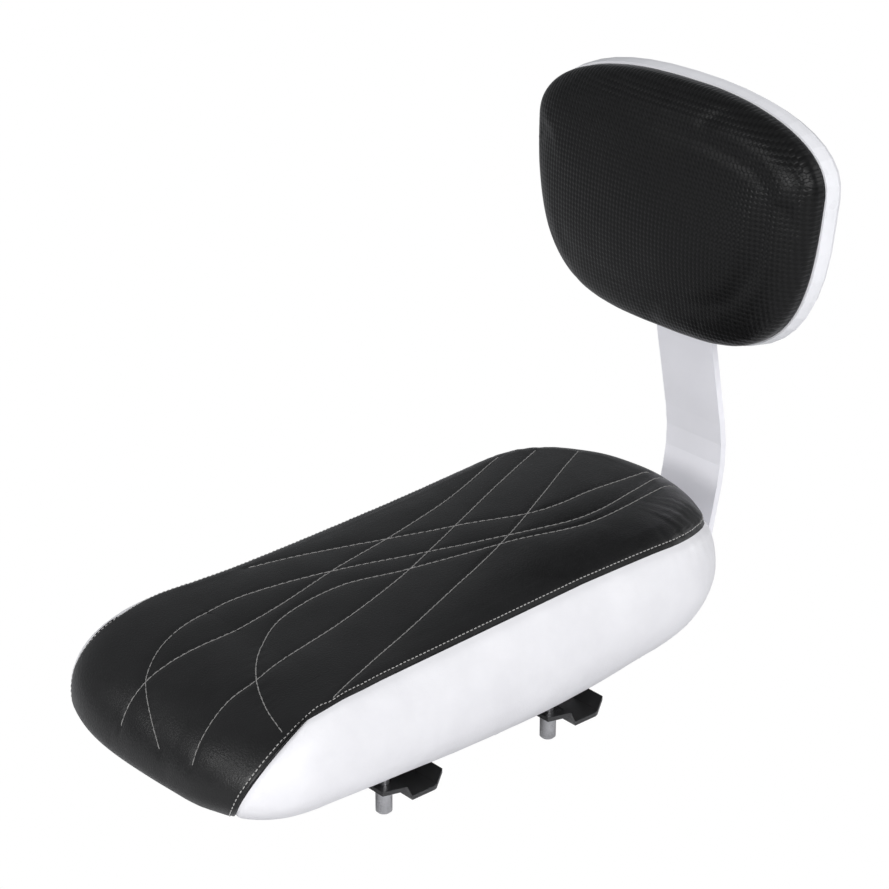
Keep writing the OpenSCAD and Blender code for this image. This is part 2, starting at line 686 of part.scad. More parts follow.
// Shell: a shallow moulded tray whose rim shows round the pad
screw_x = 72;
screw_vs = [-66, 18];
module at_shell_screws() {
  for (x = [-screw_x, screw_x])
    for (v = screw_vs)
      translate([x, v, 0])
        children();
}
shell_rim = [[0, 0], [-0.9, -0.35], [-1.2, -0.6], [0.6, -0.86], [5, -1]];
module backrest_shell() {
  n = pad_ring_n;
  rows = len(shell_rim);
  outer = [for (s = shell_rim) each pad_ring(s[0], s[1] * shell_depth)];
  inner = [for (s = shell_rim)
    each pad_ring(s[0] + shell_t, s[1] * (shell_depth - shell_t))];
  second = rows * n;
  sides = [for (r = [0 : rows - 2]) each flipped(belt(r * n, (r + 1) * n, n))];
  back = flat_faces((rows - 1) * n, n);
  skin_faces = concat(sides, back);
  color([0.93, 0.93, 0.95])
    in_pad_frame()
      difference() {
        union() {
          polyhedron(concat(outer, inner),
            concat(skin_faces, [for (f = flipped(skin_faces)) f + [second, second, second]],
              belt(0, second, n)), convexity = 6);
          for (v = pad_bolt_vs)
            translate([0, v, 0.5 - shell_depth])
              cylinder(h = shell_depth - board_t - 0.6, r = 10, $fn = 40);
          at_shell_screws()
            translate([0, 0, 0.5 - shell_depth])
              cylinder(h = shell_depth - board_t - 0.6, r = 5, $fn = 32);
        }
        for (v = pad_bolt_vs)
          translate([0, v, -30]) cylinder(h = 40, r = 3.3, $fn = 40);
        at_shell_screws() translate([0, 0, -30]) cylinder(h = 40, r = 2.3, $fn = 32);
      }
}

bar_back_q = bar_q - bar_t / 2 - 0.02;
module backrest_bolts() {
  color("silver")
    at_pad_bolts()
      translate([0, 0, bar_back_q - washer_t - bolt_head_h])
        button_bolt(bar_t + washer_t + shell_depth + 1);
}
module backrest_washers() {
  color("silver")
    at_pad_bolts() translate([0, 0, bar_back_q - washer_t]) plain_washer();
}
module backrest_tee_nuts() {
  color("silver")
    at_pad_bolts() translate([0, 0, 0.1]) tee_nut(5);
}
module shell_screws() {
  color("silver")
    in_pad_frame()
      at_shell_screws()
        translate([0, 0, -shell_depth - 2])
          union() {
            cylinder(h = 1.9, r1 = 2.8, r2 = 4, $fn = 32);
            cylinder(h = shell_depth + 1, r = 2, $fn = 32);
          }
}

seat_cover();
side_band();
seat_foam();
base_pan();
rest_strips();
cover_staples();
clamp_studs();
stud_washers();
lock_nuts();
dog_front_left();
dog_front_right();
dog_rear_left();
dog_rear_right();
sleeve_nut_front_left();
sleeve_nut_front_right();
sleeve_nut_rear_left();
sleeve_nut_rear_right();
bracket();
bracket_bolts();
bracket_washers();
bracket_tee_nuts();
backrest_shell();
backrest_board();
backrest_foam();
backrest_cover();
backrest_bolts();
backrest_washers();
backrest_tee_nuts();
shell_screws();
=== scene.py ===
"""Rear passenger seat for a bicycle carrier: upholstery, materials, light and camera."""
import json
import math
import bpy
import numpy as np
from mathutils import Matrix, Vector, noise
from mathutils.bvhtree import BVHTree
from mathutils.kdtree import KDTree


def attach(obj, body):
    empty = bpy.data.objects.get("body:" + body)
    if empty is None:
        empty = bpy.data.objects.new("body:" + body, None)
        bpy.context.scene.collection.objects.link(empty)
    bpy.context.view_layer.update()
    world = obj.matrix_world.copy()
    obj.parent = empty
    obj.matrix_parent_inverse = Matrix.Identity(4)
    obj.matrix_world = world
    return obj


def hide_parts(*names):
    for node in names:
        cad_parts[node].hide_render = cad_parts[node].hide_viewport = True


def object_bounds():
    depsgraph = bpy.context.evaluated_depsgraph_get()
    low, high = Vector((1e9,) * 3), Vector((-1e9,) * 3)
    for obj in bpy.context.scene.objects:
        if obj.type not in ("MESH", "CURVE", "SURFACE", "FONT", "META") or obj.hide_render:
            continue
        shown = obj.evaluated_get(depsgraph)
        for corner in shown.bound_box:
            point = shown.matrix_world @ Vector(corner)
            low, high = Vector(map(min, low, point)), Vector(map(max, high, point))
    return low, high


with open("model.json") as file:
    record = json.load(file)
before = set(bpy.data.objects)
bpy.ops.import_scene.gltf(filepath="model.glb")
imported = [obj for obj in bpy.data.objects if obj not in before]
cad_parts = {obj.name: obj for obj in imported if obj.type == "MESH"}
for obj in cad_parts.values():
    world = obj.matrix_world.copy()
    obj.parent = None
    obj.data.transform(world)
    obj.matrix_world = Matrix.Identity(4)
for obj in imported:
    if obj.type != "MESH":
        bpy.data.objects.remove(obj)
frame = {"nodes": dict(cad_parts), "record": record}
cad_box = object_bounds()

MM = 0.001


def linked(name, data):
    """New object in the scene that holds a mesh, a lamp or a camera."""
    obj = bpy.data.objects.new(name, data)
    bpy.context.scene.collection.objects.link(obj)
    return obj


def mesh_object(name, verts, faces, mat):
    mesh = bpy.data.meshes.new(name)
    mesh.from_pydata(verts, [], faces)
    mesh.validate()
    mesh.shade_smooth()
    mesh.materials.append(mat)
    return linked(name, mesh)


# Node helpers


def material(name, build):
    mat = bpy.data.materials.new(name)
    mat.use_nodes = True
    nodes, links = mat.node_tree.nodes, mat.node_tree.links
    nodes.clear()
    out = nodes.new("ShaderNodeOutputMaterial")
    bsdf = nodes.new("ShaderNodeBsdfPrincipled")
    links.new(bsdf.outputs[0], out.inputs[0])
    build(nodes, links, bsdf)
    return mat


def add(nodes, kind, **values):
    node = nodes.new("ShaderNode" + kind)
    for key, value in values.items():
        if hasattr(node, key):
            setattr(node, key, value)
        else:
            node.inputs[key.replace("_", " ")].default_value = value
    return node


def mapped(nodes, links, scale=(1, 1, 1)):
    where = nodes.new("ShaderNodeTexCoord")
    place = nodes.new("ShaderNodeMapping")
    place.inputs["Scale"].default_value = scale
    links.new(where.outputs["Object"], place.inputs["Vector"])
    return place.outputs["Vector"]


def texture(nodes, links, place, kind, **values):
    node = add(nodes, "Tex" + kind, **values)
    links.new(place, node.inputs["Vector"])
    return node


def ramp(nodes, links, source, low, high, colours):
    node = nodes.new("ShaderNodeValToRGB")
    node.color_ramp.elements[0].position = low
    node.color_ramp.elements[1].position = high
    node.color_ramp.elements[0].color = (*colours[0], 1)
    node.color_ramp.elements[1].color = (*colours[1], 1)
    links.new(source, node.inputs[0])
    return node.outputs[0]


def remap(nodes, links, source, low, high, to_low, to_high):
    node = nodes.new("ShaderNodeMapRange")
    for key, value in zip(("From Min", "From Max", "To Min", "To Max"),
                          (low, high, to_low, to_high)):
        node.inputs[key].default_value = value
    links.new(source, node.inputs["Value"])
    return node.outputs[0]


def bump(nodes, links, bsdf, heights):
    """Chain of bumps: each height is (socket, strength, distance in metres)."""
    normal = None
    for source, strength, distance in heights:
        node = nodes.new("ShaderNodeBump")
        node.inputs["Strength"].default_value = strength
        node.inputs["Distance"].default_value = distance
        links.new(source, node.inputs["Height"])
        if normal is not None:
            links.new(normal, node.inputs["Normal"])
        normal = node.outputs[0]
    links.new(normal, bsdf.inputs["Normal"])


# Materials


def leather(colour_low, colour_high, rough_low, rough_high, grain=1.0, shine=0.45):
    def build(nodes, links, bsdf):
        place = mapped(nodes, links)
        cloud = texture(nodes, links, place, "Noise", Scale=28.0, Detail=4.0, Roughness=0.55)
        links.new(ramp(nodes, links, cloud.outputs["Fac"], 0.35, 0.7,
                       (colour_low, colour_high)), bsdf.inputs["Base Color"])
        pebble = texture(nodes, links, place, "Voronoi", Scale=900.0, Randomness=1.0)
        fine = texture(nodes, links, place, "Noise", Scale=2600.0, Detail=3.0)
        wear = texture(nodes, links, place, "Noise", Scale=60.0, Detail=6.0, Roughness=0.7)
        links.new(remap(nodes, links, wear.outputs["Fac"], 0.3, 0.75, rough_low, rough_high),
                  bsdf.inputs["Roughness"])
        bsdf.inputs["Specular IOR Level"].default_value = shine
        bump(nodes, links, bsdf, [(pebble.outputs["Distance"], 0.25 * grain, 0.00035),
                                  (fine.outputs["Fac"], 0.15 * grain, 0.0002)])
    return build


def basket(nodes, links, bsdf):
    """Black pad material embossed with small basket cells."""
    place = mapped(nodes, links)
    split = nodes.new("ShaderNodeSeparateXYZ")
    links.new(place, split.inputs[0])

    def wave(a, b, pitch, sign):
        run = add(nodes, "Math", operation="MULTIPLY_ADD")
        run.inputs[1].default_value = sign
        links.new(a, run.inputs[0])
        links.new(b, run.inputs[2])
        turn = add(nodes, "Math", operation="MULTIPLY")
        turn.inputs[1].default_value = 2 * math.pi / pitch
        links.new(run.outputs[0], turn.inputs[0])
        sine = add(nodes, "Math", operation="SINE")
        links.new(turn.outputs[0], sine.inputs[0])
        return sine.outputs[0]

    pitch = 0.0056
    one = wave(split.outputs["X"], split.outputs["Z"], pitch, 1.0)
    two = wave(split.outputs["X"], split.outputs["Z"], pitch, -1.0)
    cell = add(nodes, "Math", operation="MULTIPLY")
    links.new(one, cell.inputs[0])
    links.new(two, cell.inputs[1])
    height = remap(nodes, links, cell.outputs[0], -0.35, 0.35, 0.0, 1.0)
    cloud = texture(nodes, links, place, "Noise", Scale=40.0, Detail=5.0)
    # Painted shade: the colour follows the emboss height, darker in the low parts of the basket
    # cells
    links.new(ramp(nodes, links, height, 0.0, 1.0,
                   ((0.003, 0.003, 0.0031), (0.0065, 0.0065, 0.0067))), bsdf.inputs["Base Color"])
    links.new(remap(nodes, links, cloud.outputs["Fac"], 0.3, 0.7, 0.3, 0.38),
              bsdf.inputs["Roughness"])
    fine = texture(nodes, links, place, "Noise", Scale=2400.0, Detail=3.0)
    bsdf.inputs["Specular IOR Level"].default_value = 0.17
    bump(nodes, links, bsdf, [(height, 0.5, 0.00035), (fine.outputs["Fac"], 0.12, 0.0002)])


def moulded(colour, rough, pit=0.3):
    def build(nodes, links, bsdf):
        place = mapped(nodes, links)
        cloud = texture(nodes, links, place, "Noise", Scale=18.0, Detail=4.0)
        darker = tuple(0.9 * c for c in colour)
        links.new(ramp(nodes, links, cloud.outputs["Fac"], 0.3, 0.75, (darker, colour)),
                  bsdf.inputs["Base Color"])
        fine = texture(nodes, links, place, "Noise", Scale=1400.0, Detail=4.0)
        links.new(remap(nodes, links, cloud.outputs["Fac"], 0.3, 0.7, rough - 0.05, rough + 0.06),
                  bsdf.inputs["Roughness"])
        bump(nodes, links, bsdf, [(fine.outputs["Fac"], pit, 0.0002)])
    return build


# Brush marks on the zinc run along the length of studs and nuts
BRUSHED = (400, 400, 2400)


def metal(colour, rough):
    def build(nodes, links, bsdf):
        place = mapped(nodes, links, scale=BRUSHED)
        streak = texture(nodes, links, place, "Noise", Scale=1.0, Detail=5.0, Roughness=0.6)
        cloud = texture(nodes, links, mapped(nodes, links), "Noise", Scale=90.0, Detail=4.0)
        darker = tuple(0.78 * c for c in colour)
        links.new(ramp(nodes, links, cloud.outputs["Fac"], 0.3, 0.7, (darker, colour)),
                  bsdf.inputs["Base Color"])
        bsdf.inputs["Metallic"].default_value = 1.0
        links.new(remap(nodes, links, streak.outputs["Fac"], 0.3, 0.7, rough - 0.08, rough + 0.1),
                  bsdf.inputs["Roughness"])
        bump(nodes, links, bsdf, [(streak.outputs["Fac"], 0.12, 0.0002)])
    return build


def painted(colour, rough):
    def build(nodes, links, bsdf):
        place = mapped(nodes, links)
        skin = texture(nodes, links, place, "Noise", Scale=420.0, Detail=2.0)
        cloud = texture(nodes, links, place, "Noise", Scale=24.0, Detail=4.0)
        darker = tuple(0.93 * c for c in colour)
        links.new(ramp(nodes, links, cloud.outputs["Fac"], 0.3, 0.75, (darker, colour)),
                  bsdf.inputs["Base Color"])
        links.new(remap(nodes, links, cloud.outputs["Fac"], 0.3, 0.7, rough - 0.04, rough + 0.05),
                  bsdf.inputs["Roughness"])
        bsdf.inputs["Coat Weight"].default_value = 0.25
        bsdf.inputs["Coat Roughness"].default_value = 0.2
        bump(nodes, links, bsdf, [(skin.outputs["Fac"], 0.12, 0.0002)])
    return build


def foam(nodes, links, bsdf):
    place = mapped(nodes, links)
    cells = texture(nodes, links, place, "Voronoi", Scale=700.0)
    # Painted shade: the foam is darker at the middle of each cell, where the bump sets its pores
    # lowest
    links.new(ramp(nodes, links, cells.outputs["Distance"], 0.1, 0.7,
                   ((0.55, 0.47, 0.26), (0.82, 0.74, 0.48))), bsdf.inputs["Base Color"])
    bsdf.inputs["Roughness"].default_value = 0.95
    bump(nodes, links, bsdf, [(cells.outputs["Distance"], 0.6, 0.0006)])


def plywood(nodes, links, bsdf):
    place = mapped(nodes, links, scale=(12, 60, 220))
    rings = texture(nodes, links, place, "Noise", Scale=1.0, Detail=6.0, Distortion=0.6)
    links.new(ramp(nodes, links, rings.outputs["Fac"], 0.35, 0.65,
                   ((0.36, 0.23, 0.11), (0.62, 0.45, 0.26))), bsdf.inputs["Base Color"])
    bsdf.inputs["Roughness"].default_value = 0.7
    bump(nodes, links, bsdf, [(rings.outputs["Fac"], 0.3, 0.0003)])


def thread(colour):
    def build(nodes, links, bsdf):
        place = mapped(nodes, links)
        strand = texture(nodes, links, place, "Noise", Scale=1800.0, Detail=2.0)
        darker = tuple(0.7 * c for c in colour)
        links.new(ramp(nodes, links, strand.outputs["Fac"], 0.3, 0.7, (darker, colour)),
                  bsdf.inputs["Base Color"])
        bsdf.inputs["Roughness"].default_value = 0.7
        bsdf.inputs["Sheen Weight"].default_value = 0.3
        bump(nodes, links, bsdf, [(strand.outputs["Fac"], 0.3, 0.0001)])
    return build


WHITE = (0.82, 0.82, 0.85)
MATERIALS = {name: material(name, build) for name, build in {
    "black_cover": leather((0.006, 0.006, 0.0062), (0.01, 0.01, 0.0104), 0.33, 0.43, shine=0.32),
    "white_cover": leather((0.72, 0.715, 0.74), (0.78, 0.775, 0.8), 0.42, 0.55, grain=0.5),
    "pad_cover": basket,
    "foam": foam,
    "black_plastic": moulded((0.016, 0.016, 0.017), 0.55),
    "white_plastic": moulded(WHITE, 0.3, pit=0.05),
    "black_rubber": moulded((0.012, 0.012, 0.012), 0.75, pit=0.5),
    "zinc_steel": metal((0.62, 0.62, 0.64), 0.3),
    "black_steel": painted((0.03, 0.03, 0.031), 0.3),
    "white_paint": painted((0.88, 0.875, 0.92), 0.34),
    "plywood": plywood,
    "seam_thread": thread((0.42, 0.41, 0.4)),
    "line_thread": thread((0.22, 0.215, 0.21)),
}.items()}
SLOTS = {part["node"]: part["material_slot"] for part in frame["record"]["subparts"]}


def dress(obj, mat):
    if obj.material_slots:
        for slot in obj.material_slots:
            slot.material = mat
    else:
        obj.data.materials.append(mat)


for name, obj in frame["nodes"].items():
    dress(obj, MATERIALS[SLOTS[name]])

# Cushion surface

# The cushion's outline and section in millimetres, y counted from the nose, as in the solids
LENGTH, NOSE = 365.0, 180.0
HALF_FRONT, HALF_REAR = 86.2, 79.7
CORNER, CORNER_N, ROUND, ROUND_N = 49.9, 2.78, 64.3, 2.1
TOP_REAR, TOP_FALL, TIP, ROLL = 93.6, 22.5, 29.0, 85.0
EDGE_REAR, EDGE_FRONT, SAG = 31.5, 19.5, 23.3
BULGE, BULGE_AT, TUCK_REAR, TUCK_FRONT, TUCK_NOSE = 8.7, 0.53, 9.5, 23.6, 10.0
SHOULDER_W, SHOULDER_H, DOME, HEM = 22.1, 10.1, 3.0, 5.0
FADE, ROLL_RUN, CAP_LEVEL = 66.3, 180.0, 1.92
SHORT_LEVEL, LONG_LEVEL = 20.0, 90.0
# The lowest level that the seam runs down to, at the front hem
SEAM_LOW = -0.88
# Points of a cap this near to its two ends are joined in one line
END_GAP = 1.5


def share(values, start, end):
    return np.clip((values - start) / (end - start), 0, 1)


def bell(distance, width):
    """One at no distance, and fading out over about twice the width."""
    return np.exp(-(distance / width) ** 2)


def ring_of(half):
    ring = np.r_[half, half[-2:0:-1] * [-1, 1]]
    d = np.roll(ring, -1, axis=0) - np.roll(ring, 1, axis=0)
    d /= np.linalg.norm(d, axis=1)[:, None]
    return ring, np.c_[d[:, 1], -d[:, 0]]


def spaced(half, count, weight):
    """Points along a half outline, closer together where the weight is high."""
    step = np.linalg.norm(np.diff(half, axis=0), axis=1)
    run = np.r_[0, np.cumsum(step * weight((half[1:] + half[:-1]) / 2))]
    even = np.linspace(0, run[-1], count // 2 + 1)
    return np.c_[np.interp(even, run, half[:, 0]), np.interp(even, run, half[:, 1])]


def seat_outline(count):
    """Closed outline from the nose round the right side, with outward normals."""
    a = np.radians(np.linspace(0, 90, 600))
    u = np.maximum(np.cos(a), 0) ** (2 / CORNER_N)
    front = np.c_[HALF_FRONT * np.sin(a) ** (2 / CORNER_N), CORNER * (1 - u)]
    s = np.linspace(0, 1, 400)[1:-1]
    side = np.c_[HALF_REAR + (HALF_FRONT - HALF_REAR) * (1 - s) ** 2,
                 CORNER + s * (LENGTH - ROUND - CORNER)]
    rear = np.c_[HALF_REAR * np.maximum(np.cos(a), 0) ** (2 / ROUND_N),
                 LENGTH - ROUND * (1 - np.sin(a) ** (2 / ROUND_N))]

    def corner_weight(p):
        return 1 + 1.6 * bell(p[:, 1] - 15, 16)
    return ring_of(spaced(np.r_[front, side, rear], count, corner_weight))


def forward(y):
    return np.clip(1 - y / LENGTH, 0, 1)


def fullness(y):
    q = np.maximum(0, (FADE - y) / FADE)
    return np.sqrt(np.maximum(0.015, 1 - q * q))


def keel_z(y):
    t = forward(y)
    return EDGE_REAR - (EDGE_REAR - EDGE_FRONT) * t * t - 4 * SAG * t * (1 - t)


def upper_z(y):
    return TOP_REAR - TOP_FALL * forward(y)


def widest_z(y):
    low = keel_z(y)
    side = low + BULGE_AT * (upper_z(y) - SHOULDER_H - low)
    return TIP + (side - TIP) * fullness(y)


def seam_level(y):
    front, rear = share(y, 52, 26), share(y, 240, LENGTH)
    corner = 1 + np.where(y > 13.9, 0.051, 0.19) * (y - 13.9)
    run = 1.715 - 0.115 * front ** 2 - 0.06 * share(y, 85, 235) - 0.12 * rear - 0.45 * rear ** 6
    return np.maximum(SEAM_LOW, np.minimum(corner, run))


def skin(ring, normals, level):
    """Points of the cushion's skin at a level for each outline point."""
    y = ring[:, 1]
    level = np.broadcast_to(level, y.shape).astype(float)
    bulge = BULGE * fullness(y)
    tuck = np.maximum(TUCK_NOSE, (TUCK_REAR + TUCK_FRONT * forward(y) ** 2) * fullness(y))
    inwards = np.c_[ring[:, 0] / HALF_FRONT, 2 * y / LENGTH - 1]
    h = np.clip(level, 0, 1)
    offset = np.minimum(0, level) * HEM + bulge - (bulge + tuck) * (1 - h) ** 2
    mix = np.where(offset < 0, 1 - h, 0)[:, None]
    wall = ring + (normals * (1 - mix) + inwards * mix) * offset[:, None]
    low = keel_z(np.where(level < 0, wall[:, 1], y - inwards[:, 1] * tuck))
    wall_z = low + (widest_z(y) - low) * h
    turn = np.radians(90 * np.clip(level - 1, 0, 1))
    wide = ring + normals * bulge[:, None]
    flat = np.c_[ring[:, 0] - normals[:, 0] * SHOULDER_W,
                 y - normals[:, 1] * SHOULDER_W * share(y, FADE, ROLL_RUN)
                 + ROLL * np.maximum(0, 1 - y / ROLL_RUN) ** 1.9]
    top = wide + (flat - wide) * (1 - np.cos(turn))[:, None]
    power = 2 + 0.5 * np.maximum(0, 1 - y / FADE)
    rise = np.sqrt(np.maximum(0, 1 - np.cos(turn) ** power))
    top_z = widest_z(y) + (upper_z(flat[:, 1]) - widest_z(y)) * rise
    low_part = level < 1
    xy = np.where(low_part[:, None], wall, top)
    return np.c_[xy - [0, NOSE], np.where(low_part, wall_z, top_z)]


def between(start, end, part):
    """Level a part of the way from start to end, evenly along the skin."""
    def run(level):
        return np.where(level < 1, SHORT_LEVEL * level, SHORT_LEVEL + LONG_LEVEL * (level - 1))
    at = run(start) * (1 - part) + run(end) * part
    return np.where(at < SHORT_LEVEL, at / SHORT_LEVEL, 1 + (at - SHORT_LEVEL) / LONG_LEVEL)


def domed(edge, pitch, dome, power):
    """Lines of points between mirrored points of a ring, crowned along the third axis."""
    count = len(edge)
    low, high = edge[0, 1], edge[count // 2, 1]
    lines = []
    for a, b in zip(edge[1:count // 2], edge[:count // 2:-1]):
        m = int(np.linalg.norm(a - b) / pitch)
        s = np.arange(1, m + 1)[:, None] / (m + 1)
        along = 2 * (a[1] - low) / (high - low) - 1
        line = a * (1 - s) + b * s
        line[:, 2] += dome * (1 - (2 * s[:, 0] - 1) ** 2) * (1 - abs(along) ** power)
        lines.append(line)
    return lines


def strip(a, b):
    """Faces between two lines of vertices that may differ in count."""
    faces, i, k = [], 0, 0
    while i < len(a) - 1 or k < len(b) - 1:
        next_a, next_b = (i + 1) / max(1, len(a) - 1), (k + 1) / max(1, len(b) - 1)
        if i < len(a) - 1 and k < len(b) - 1 and abs(next_a - next_b) < 1e-9:
            faces.append((a[i], b[k], b[k + 1], a[i + 1]))
            i, k = i + 1, k + 1
        elif k == len(b) - 1 or (i < len(a) - 1 and next_a < next_b):
            faces.append((a[i], b[k], a[i + 1]))
            i += 1
        else:
            faces.append((a[i], b[k], b[k + 1]))
            k += 1
    return faces


def grid_mesh(name, rows, closed, mat, inner=None):
    """Mesh from rows of points, with the inner points of a cap over the last row."""
    count = rows.shape[1]
    verts = list(map(tuple, rows.reshape(-1, 3) * MM))
    faces = []
    for r in range(rows.shape[0] - 1):
        for i in range(count if closed else count - 1):
            k = (i + 1) % count
            faces.append((r * count + i, r * count + k, (r + 1) * count + k,
                          (r + 1) * count + i))
    if inner is not None:
        last, half = (rows.shape[0] - 1) * count, count // 2
        gap = np.linalg.norm((rows[-1, :half + 1] - rows[-1, 0]) * [0, 1, 1], axis=1)
        start = int(np.argmax(gap > END_GAP))
        far = np.linalg.norm((rows[-1, :half + 1] - rows[-1, half]) * [0, 1, 1], axis=1)
        end = half - int(np.argmax(far[::-1] > END_GAP))
        lines = [[last + i % count for i in range(start, -start - 1, -1)]]
        for i in range(start + 1, end):
            base = len(verts)
            verts += list(map(tuple, inner[i - 1] * MM))
            lines.append([last + i, *range(base, len(verts)), last + count - i])
        lines.append([last + i for i in range(end, count - end + 1)])
        for a, b in zip(lines[:-1], lines[1:]):
            faces += strip(a, b)
    return mesh_object(name, verts, faces, mat)


def coordinates(mesh, kind="vertices", field="co"):
    values = np.empty(3 * len(mesh.vertices))
    getattr(mesh, kind).foreach_get(field, values)
    return values.reshape(-1, 3)


def moved(obj, change):
    """Move each vertex along its normal by what change says for the points in millimetres."""
    mesh = obj.data
    place = coordinates(mesh) / MM
    place += coordinates(mesh, "vertex_normals", "vector") * change(place)[:, None]
    mesh.vertices.foreach_set("co", (place * MM).ravel())
    mesh.update()


def point_tree(points):
    tree = KDTree(len(points))
    for i, p in enumerate(points):
        tree.insert(p, i)
    tree.balance()
    return tree


def nearest(curve, points):
    """Distance from each point to a polyline given as closely spaced points, and its index."""
    tree = point_tree(curve)
    found = [tree.find(p) for p in points]
    return np.array([f[2] for f in found]), np.array([f[1] for f in found])


def smooth_line(points, step):
    """Catmull-Rom line through the points, resampled evenly."""
    p = np.asarray(points, float)
    p = np.r_[2 * p[:1] - p[1:2], p, 2 * p[-1:] - p[-2:-1]]
    t = np.linspace(0, 1, 24, endpoint=False)[:, None]
    out = [0.5 * (2 * b + (c - a) * t + (2 * a - 5 * b + 4 * c - d) * t ** 2
                  + (3 * b - a - 3 * c + d) * t ** 3)
           for a, b, c, d in zip(p[:-3], p[1:-2], p[2:-1], p[3:])]
    return resampled(np.concatenate(out + [p[-2:-1]]), step)


def resampled(points, step):
    run = np.r_[0, np.cumsum(np.linalg.norm(np.diff(points, axis=0), axis=1))]
    even = np.linspace(0, run[-1], max(2, int(run[-1] / step)))
    return np.stack([np.interp(even, run, points[:, k]) for k in range(points.shape[1])], axis=1)


def waves(points, size, depth, seed):
    """Soft uneven swell of the padding."""
    shift = Vector((seed * 17.3, seed * 5.1, seed * 9.7))
    return depth * np.array([noise.noise(Vector(p) / size + shift) for p in points])


# Blown-up copies: the cell of the remesh, the pressure, the frames and the most they may move
AIR_CELL, PRESSURE, MOMENTS, AIR_MOST = 4.5, 4, 20, 2.4


def puffed(rows, inner, held):
    """Blow up a coarse closed copy of a cushion, held where it is sewn or fastened.

    Returns its points and how far each one moved outwards, in millimetres."""
    base = np.broadcast_to(rows[0].mean(axis=0), rows[0].shape)
    body = grid_mesh("air_shape", np.concatenate([base[None], rows]), True,
                     MATERIALS["black_cover"], inner)
    cells = body.modifiers.new("cells", "REMESH")
    cells.mode = "VOXEL"
    cells.voxel_size = AIR_CELL * MM
    view = bpy.context.evaluated_depsgraph_get()
    mesh = bpy.data.meshes.new_from_object(body.evaluated_get(view))
    proxy = linked("air_cells", mesh)
    start = coordinates(mesh)
    facing = coordinates(mesh, "vertex_normals", "vector")
    pins = proxy.vertex_groups.new(name="held")
    for i, weight in enumerate(held(start / MM)):
        if weight > 0.01:
            pins.add([i], float(weight), "REPLACE")
    cloth = proxy.modifiers.new("air", "CLOTH")
    cloth.settings.quality = 5
    cloth.settings.use_pressure = True
    cloth.settings.uniform_pressure_force = PRESSURE
    cloth.settings.effector_weights.gravity = 0
    cloth.settings.vertex_group_mass = "held"
    for moment in range(1, MOMENTS + 1):
        bpy.context.scene.frame_set(moment)
    end_mesh = proxy.evaluated_get(bpy.context.evaluated_depsgraph_get()).to_mesh()
    travel = np.einsum("ij,ij->i", coordinates(end_mesh) - start, facing) / MM
    bpy.context.scene.frame_set(1)
    for spent in (proxy, body):
        bpy.data.objects.remove(spent, do_unlink=True)
    return start / MM, np.clip(travel, -AIR_MOST, AIR_MOST)


def carried(field, points, start_in):
    """Swelling of the blown-up copy read at other points, less the depth it starts in."""
    if field is None:
        return np.zeros(len(points))
    places, travel = field
    tree = point_tree(places)
    swell = np.empty(len(points))
    for i, p in enumerate(points):
        found = tree.find_n(p, 8)
        weight = np.array([1 / (1 + f[2] ** 2) for f in found])
        swell[i] = (weight * travel[[f[1] for f in found]]).sum() / weight.sum()
    return swell - start_in


# Seat skins

RING, NORMALS = seat_outline(520)
# At the front left the seam runs a little lower, so that the cover hides the band there
LEFT_FRONT = share(RING[:, 0], -40, -75) * share(RING[:, 1], 95, 45)
SEAM = np.maximum(SEAM_LOW, seam_level(RING[:, 1]) - 0.08 * LEFT_FRONT)
SEAM_LINE = skin(RING, NORMALS, SEAM)
MIDDLE = np.array([0.0, 0.0, 45.0])

HEM_KNOTS = smooth_line([(-90, -4), (-76, -5), (-62, -3.8), (-40, -1.2), (-20, 0.9), (-6, 2.6),
                         (8, 4.6), (20, 6.2), (28, 5.0), (36, 2.0), (46, 0.8), (60, 0)], 1.0)
# The hem stays within about a millimetre of its staples
HEM_X, HEM_SWAY = HEM_KNOTS[:, 0], 0.17 * HEM_KNOTS[:, 1]


def hemmed(rows):
    """The front hem hangs a little unevenly, and both skins dip into the stitched seam."""
    x, y, z = rows[..., 0], rows[..., 1], rows[..., 2]
    low = share(z, 40, 20) * share(y, -120, -160)
    rows[..., 2] += np.interp(x, HEM_X, HEM_SWAY) * low
    distance = np.linalg.norm(rows - SEAM_LINE[None, :rows.shape[1]], axis=2)
    inward = MIDDLE - rows
    inward[..., 1] *= 0.15
    inward /= np.linalg.norm(inward, axis=2)[..., None]
    rows += inward * (1.5 * bell(distance, 3.0) + 0.6 * bell(distance, 11.0))[..., None]
    return rows


def stack(first, last, parts):
    return np.stack([skin(RING, NORMALS, between(first, last, s)) for s in parts])


COVER_PARTS = np.linspace(0, 1, 42) ** 1.35
BAND_PARTS = 1 - np.linspace(1, 0, 56) ** 1.3
BAND_START = int(np.argmax(RING[:, 1] > 4.2))
BAND_END = len(RING) - BAND_START + 1
cover_rows = hemmed(stack(SEAM, CAP_LEVEL, COVER_PARTS))
band_rows = hemmed(stack(-1, SEAM, BAND_PARTS))[:, BAND_START:BAND_END]
cover = grid_mesh("seat_cover_skin", cover_rows, True, MATERIALS["black_cover"],
                  inner=domed(cover_rows[-1], 1.7, DOME, 4))
band = grid_mesh("seat_band_skin", band_rows, False, MATERIALS["white_cover"])

# Distance of the top-stitch from the seam, and of the quilting's ends from it
STITCH_IN, QUILT_CLEAR = 3.3, 4.2

